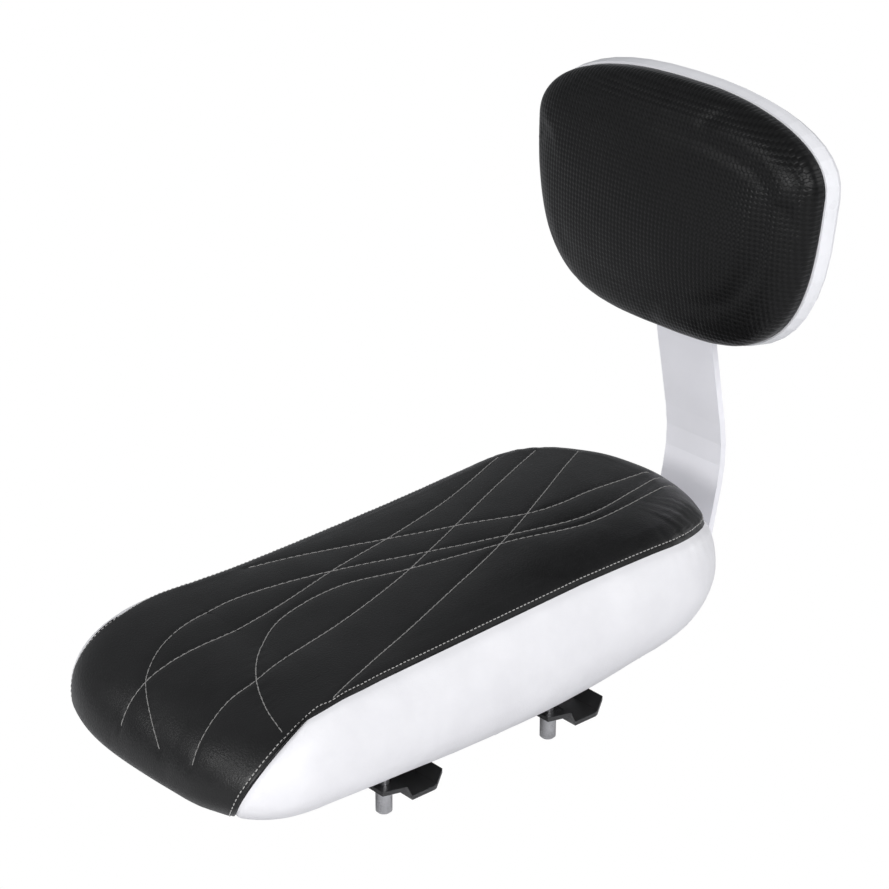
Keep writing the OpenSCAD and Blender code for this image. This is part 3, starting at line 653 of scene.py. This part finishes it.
# Lines stitched across the top, as (x, y) seen from above
QUILT = [
    [(10.6, 172), (8.4, 130.7), (6.5, 88.9), (-15.3, 45.4), (-37.4, -0.6), (-52.2, -32.8),
     (-63.8, -62.2)],
    [(18, 177), (28.1, 111.8), (18.9, 69.2), (-3.8, 15.2), (-20.3, -23), (-37.7, -74.7),
     (-39.1, -111.3), (-33.4, -137.5), (-24, -154.7), (-14.7, -162.8), (2.1, -171.5),
     (17.9, -177.8)],
    [(29.4, 174.8), (35.3, 104.9), (20.6, 55.2), (3.9, -3.4), (-8.4, -40.3), (-5.6, -80.9),
     (9.7, -107.3), (29.8, -126), (53.9, -138.3), (77.5, -143.9)],
    [(-63.9, 123.3), (-44.8, 71.2), (-33.2, 20.2), (-25.7, -26.2), (-16.9, -72.1),
     (-14.1, -111.2), (-18.1, -144.9), (-19.7, -158.5), (-19.4, -169.7), (-17.5, -178.7)],
    [(-54.2, 143.4), (-29.8, 83.5), (-9.1, 32), (8.7, -15.1), (21, -64.2), (27.2, -106.6),
     (32.2, -128.4), (33, -146.9), (37, -164.5), (41.4, -176.7)],
    [(-37.3, 162), (-3.1, 97.7), (19.7, 48), (43.2, -20.9), (61.5, -78.9), (73.6, -114),
     (78.2, -133)],
]


def tree_of(obj):
    mesh = obj.data
    return BVHTree.FromPolygons([v.co / MM for v in mesh.vertices],
                                [tuple(p.vertices) for p in mesh.polygons])


def dropped(line, tree):
    """Lay a line seen from above on a surface: points and surface normals."""
    points, facing = [], []
    for x, y in line:
        place, normal, _, _ = tree.ray_cast(Vector((x, y, 200)), Vector((0, 0, -1)))
        if place is not None:
            points.append(place)
            facing.append(normal if normal.z > 0 else -normal)
    points, facing = np.array(points), np.array(facing)
    clear = nearest(SEAM_LINE, points)[0] > QUILT_CLEAR
    return points[clear], facing[clear]


plain_cover = tree_of(cover)
quilt_lines = [dropped(smooth_line(line, 0.8), plain_cover)[0] for line in QUILT]
quilt_all = np.concatenate(quilt_lines)


def puckers(along, distance):
    """Short gathers that run away from the seam, strongest where it turns."""
    right, left = bell(along - REAR_RIGHT, 28), bell(along - REAR_LEFT, 28)
    reach = 8.0 + 20.0 * right + 14.0 * left
    depth = 0.1 + 0.6 * right + 0.3 * left
    ripple = np.sin(along * 0.62 + 1.7 * np.sin(along * 0.17)) * np.sin(along * 0.23 + 0.6)
    return depth * ripple * bell(distance, reach) * (1 - bell(distance, 3))


seam_run = np.r_[0, np.cumsum(np.linalg.norm(np.diff(SEAM_LINE, axis=0), axis=1))]
REAR_RIGHT, REAR_LEFT = (
    seam_run[int(np.argmin(np.linalg.norm(SEAM_LINE - [x, 150, 74], axis=1)))] for x in (66, -66))


# How far in the two skins start, before the blown-up copies lift them
SEAT_IN, PAD_IN = 0.6, 1.2


def sewn(points):
    """How firmly the seat's cover is held: at the hem, the seam and the quilting."""
    seam = bell(nearest(SEAM_LINE, points)[0], 4.0)
    quilt = 0.7 * bell(nearest(quilt_all, points)[0], 3.5)
    return np.maximum(np.maximum(seam, quilt), share(points[:, 2], 34, 26))


whole_rows = stack(-1, CAP_LEVEL, np.linspace(0, 1, 40))
seat_air = puffed(whole_rows, domed(whole_rows[-1], 4, DOME, 4), sewn)


def padding(points, to_seam, swell):
    """Swelling of the seat's padding, which dies out towards the seam."""
    return (swell + carried(seat_air, points, SEAT_IN)) * (1 - bell(to_seam, 7))


def cover_relief(points):
    to_seam, index = nearest(SEAM_LINE, points)
    to_quilt, _ = nearest(quilt_all, points)
    stitch_row = -0.3 * bell(to_seam - 3.1, 1.0)
    quilt = -0.55 * bell(to_quilt, 1.5) - 0.25 * bell(to_quilt, 6.0)
    swell = waves(points, 70, 0.9, 1) + waves(points, 24, 0.25, 2)
    return (stitch_row + quilt + puckers(seam_run[index], to_seam)
            + padding(points, to_seam, swell))


def band_relief(points):
    to_seam, index = nearest(SEAM_LINE, points)
    swell = waves(points, 60, 0.8, 3) + waves(points, 20, 0.18, 4)
    return 0.6 * puckers(seam_run[index], to_seam) + padding(points, to_seam, swell)


# Thickness of the skins
SKIN = 1.4


def finished(piece, relief, node):
    """Give a skin its relief and thickness, and let it take the place of its solid."""
    moved(piece, relief)
    solid = piece.modifiers.new("thickness", "SOLIDIFY")
    solid.thickness = SKIN * MM
    solid.offset = -1
    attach(piece, "seat")
    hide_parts(node)


finished(cover, cover_relief, "seat_cover")
finished(band, band_relief, "side_band")

# Stitching


# A stitch as (part of its length, part of its radius), and the corners of its section
STITCH = [(-0.5, 0.15), (-0.42, 0.75), (-0.15, 1.0), (0.15, 1.0), (0.42, 0.75), (0.5, 0.15)]
SIDES = 6


def stitches(name, runs, mat, length, gap, radius):
    """Rows of short thread loops lying in the surface; runs are (points, normals)."""
    verts, faces = [], []
    for points, facing in runs:
        joined = resampled(np.c_[points, facing], 0.2)
        run = np.r_[0, np.cumsum(np.linalg.norm(np.diff(joined[:, :3], axis=0), axis=1))]
        for start in np.arange(0.5, run[-1] - length, length + gap):
            base = len(verts)
            for part, fat in STITCH:
                at = [np.interp(start + (part + 0.5) * length, run, joined[:, k])
                      for k in range(6)]
                ahead = [np.interp(start + (part + 0.5) * length + 0.3, run, joined[:, k])
                         for k in range(3)]
                centre, up = Vector(at[:3]), Vector(at[3:]).normalized()
                tangent = (Vector(ahead) - centre).normalized()
                across = tangent.cross(up).normalized()
                centre += up * radius * (0.4 - 1.2 * (2 * part) ** 6)
                for k in range(SIDES):
                    angle = 2 * math.pi * k / SIDES
                    spoke = across * math.cos(angle) + up * math.sin(angle)
                    place = centre + spoke * (radius * fat)
                    verts.append(tuple(place * MM))
            for r in range(len(STITCH) - 1):
                for k in range(SIDES):
                    n = (k + 1) % SIDES
                    faces.append((base + r * SIDES + k, base + r * SIDES + n,
                                  base + (r + 1) * SIDES + n, base + (r + 1) * SIDES + k))
            faces.append(tuple(base + k for k in reversed(range(SIDES))))
            faces.append(tuple(base + (len(STITCH) - 1) * SIDES + k for k in range(SIDES)))
    obj = mesh_object(name, verts, faces, mat)
    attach(obj, "seat")


def snapped(points, tree):
    found = [tree.find_nearest(Vector(p)) for p in points]
    return (np.array([f[0] for f in found]), np.array([f[1] for f in found]))


final_cover = tree_of(cover)


def beside_seam(offset):
    """Line on the top cover that runs at an even distance from the seam."""
    start = int(np.argmax(SEAM > -0.6))
    line = []
    for i in range(start, len(SEAM) - start + 1):
        column = cover_rows[:20, i]
        away = nearest(cover_rows[0], column)[0]
        k = int(np.argmax(away > offset))
        part = (offset - away[k - 1]) / (away[k] - away[k - 1])
        line.append(column[k - 1] * (1 - part) + column[k] * part)
    return snapped(smooth_line(line[::6], 0.8), final_cover)


def outward(points, facing):
    flip = np.sign(np.einsum("ij,ij->i", facing, points - MIDDLE))[:, None]
    return points, facing * flip


stitches("seat_top_stitching", [outward(*beside_seam(STITCH_IN))], MATERIALS["seam_thread"],
         length=1.9, gap=0.8, radius=0.27)
stitches("seat_quilt_stitching",
         [dropped(smooth_line(line, 0.8), final_cover) for line in QUILT],
         MATERIALS["line_thread"], length=4.6, gap=-0.25, radius=0.3)

# Backrest pad

PAD_TOP, PAD_LOW, PAD_UP, PAD_DOWN = 108.9, 102.1, 45.2, 100.2
PAD_Z, PAD_Y, PAD_LEAN = 270.6, 199.4, math.radians(3.4)
PAD_EDGE, PAD_ROUND_H, PAD_ROUND_W, PAD_DOME = 5.0, 17.0, 32.0, 8.5
PAD_N_TOP, PAD_N_LOW, PAD_TURN = 2.28, 3.2, 62


def pad_outline(count):
    a = np.radians(np.linspace(0, 90, 600))
    low_v = -PAD_DOWN * np.maximum(np.cos(a), 0) ** (2 / PAD_N_LOW)
    top_v = PAD_UP * np.sin(a) ** (2 / PAD_N_TOP)
    v = np.r_[low_v, top_v[1:]]
    part = np.r_[np.sin(a) ** (2 / PAD_N_LOW), np.maximum(np.cos(a[1:]), 0) ** (2 / PAD_N_TOP)]
    wide = PAD_LOW + (PAD_TOP - PAD_LOW) * (v + PAD_DOWN) / (PAD_UP + PAD_DOWN)
    return ring_of(spaced(np.c_[part * wide, v], count, lambda p: np.ones(len(p))))[0]


def pad_ring(ring, inset, q):
    """The outline drawn in by inset, at height q in front of the pad's back edge."""
    v = ring[:, 1] * np.where(ring[:, 1] > 0, (PAD_UP - inset) / PAD_UP,
                              (PAD_DOWN - inset) / PAD_DOWN)
    return np.c_[ring[:, 0] * (PAD_TOP - inset) / PAD_TOP, v, np.full(len(ring), q)]


def pad_place(points):
    x, v, q = points[..., 0], points[..., 1], points[..., 2]
    y = PAD_Y + v * math.sin(PAD_LEAN) - q * math.cos(PAD_LEAN)
    z = PAD_Z + v * math.cos(PAD_LEAN) + q * math.sin(PAD_LEAN)
    return np.stack([x, y, z], axis=-1)


PAD_RING = pad_outline(300)
pad_rows = [pad_ring(PAD_RING, 0, q) for q in np.linspace(0.3, PAD_EDGE, 4)[:-1]]
pad_rows += [pad_ring(PAD_RING, PAD_ROUND_W * (1 - math.cos(t)),
                      PAD_EDGE + PAD_ROUND_H * math.sin(t))
             for t in np.radians(np.linspace(0, PAD_TURN, 26))]
pad_rows = np.stack(pad_rows)
pad_crease = pad_place(pad_ring(PAD_RING, 24.5, 22.5))


def pad_cap(pitch):
    return [pad_place(line) for line in domed(pad_rows[-1], pitch, PAD_DOME, 2)]


pad = grid_mesh("backrest_pad_skin", pad_place(pad_rows), True, MATERIALS["pad_cover"],
                inner=pad_cap(2.4))


def pulled_back(points):
    """The pad's cover is held round its back edge."""
    back = pad_place(np.array([[0.0, 0.0, PAD_EDGE]]))[0]
    front = (back - points) @ np.array([0, math.cos(PAD_LEAN), -math.sin(PAD_LEAN)])
    return share(front, 6, 0)


pad_air = puffed(pad_place(pad_rows), pad_cap(4), pulled_back)


def pad_relief(points):
    to_crease, _ = nearest(pad_crease, points)
    depth = share(points[:, 0], -70, 50) * share(points[:, 2], 185, 225)
    return (carried(pad_air, points, PAD_IN) - 1.4 * depth * bell(to_crease, 5.0)
            + waves(points, 55, 0.8, 5) + waves(points, 18, 0.15, 6))


finished(pad, pad_relief, "backrest_cover")

# Floor, light and camera


def floor_material():
    """White to the camera, and plain grey-white to the light."""
    mat = bpy.data.materials.new("floor")
    mat.use_nodes = True
    nodes, links = mat.node_tree.nodes, mat.node_tree.links
    nodes.clear()
    out = nodes.new("ShaderNodeOutputMaterial")
    mix = add(nodes, "MixShader")
    plain = add(nodes, "BsdfDiffuse", Color=(0.85, 0.85, 0.86, 1))
    glow = add(nodes, "Emission", Color=(1, 1, 1, 1), Strength=1.0)
    path = add(nodes, "LightPath")
    most = add(nodes, "Math", operation="MAXIMUM")
    links.new(path.outputs["Is Camera Ray"], most.inputs[0])
    links.new(path.outputs["Is Transmission Ray"], most.inputs[1])
    links.new(most.outputs[0], mix.inputs[0])
    links.new(plain.outputs[0], mix.inputs[1])
    links.new(glow.outputs[0], mix.inputs[2])
    links.new(mix.outputs[0], out.inputs[0])
    return mat


FLOOR_HALF, FLOOR_GAP = 6.0, 0.0002
floor_z = cad_box[0][2] - FLOOR_GAP
floor = mesh_object("floor", [(x * FLOOR_HALF, y * FLOOR_HALF, floor_z)
                              for x, y in ((-1, -1), (1, -1), (1, 1), (-1, 1))],
                    [(0, 1, 2, 3)], floor_material())

world = bpy.data.worlds.new("studio")
bpy.context.scene.world = world
world.use_nodes = True
world_nodes, world_links = world.node_tree.nodes, world.node_tree.links
world_nodes.clear()
world_out = add(world_nodes, "OutputWorld")
sky = add(world_nodes, "Background", Color=(0.95, 0.97, 1, 1), Strength=0.33)
back = add(world_nodes, "Background", Color=(1, 1, 1, 1), Strength=1.0)
pick = add(world_nodes, "MixShader")
ray = add(world_nodes, "LightPath")
world_links.new(ray.outputs["Is Camera Ray"], pick.inputs[0])
world_links.new(sky.outputs[0], pick.inputs[1])
world_links.new(back.outputs[0], pick.inputs[2])
world_links.new(pick.outputs[0], world_out.inputs[0])


def lamp(name, place, target, width, height, power):
    data = bpy.data.lights.new(name, "AREA")
    data.shape = "RECTANGLE"
    data.size, data.size_y = width, height
    data.energy = power
    obj = linked(name, data)
    obj.location = place
    obj.rotation_euler = (Vector(target) - Vector(place)).to_track_quat("-Z", "Y").to_euler()


lamp("key", (1.5, -0.4, 1.2), (0, 0, 0.1), 1.0, 1.0, 22)
lamp("left", (-0.8, -1.5, 1.1), (0, 0, 0.1), 0.4, 0.4, 4)
lamp("front", (0.3, -1.95, 0.9), (0, 0, 0.15), 0.6, 0.5, 17)
lamp("back", (0.9, 1.9, 0.8), (0, 0, 0.1), 1.2, 1.0, 8)

# Camera: bearing and height, lens, distance, and the middle of the view beside the target
AZ, EL = math.radians(49), math.radians(24.5)
FOCAL_PX, IMAGE_PX, DISTANCE = 2800.0, 889.0, 1.52862
ALONG, UP, SENSOR = 0.01769, 0.11340, 36.0
away = Vector((math.sin(AZ) * math.cos(EL), -math.cos(AZ) * math.cos(EL), math.sin(EL)))
right = Vector((math.cos(AZ), math.sin(AZ), 0))
above = away.cross(right)
target = Vector((0, 0.0025, 0.029)) + right * ALONG + above * UP
lens = bpy.data.cameras.new("camera")
lens.sensor_width = SENSOR
lens.lens = SENSOR * FOCAL_PX / IMAGE_PX
camera = linked("camera", lens)
camera.matrix_world = Matrix((
    (right.x, above.x, away.x, 0), (right.y, above.y, away.y, 0),
    (right.z, above.z, away.z, 0), (0, 0, 0, 1)))
camera.location = target + away * DISTANCE
bpy.context.scene.camera = camera
bpy.context.scene.view_settings.view_transform = "Standard"
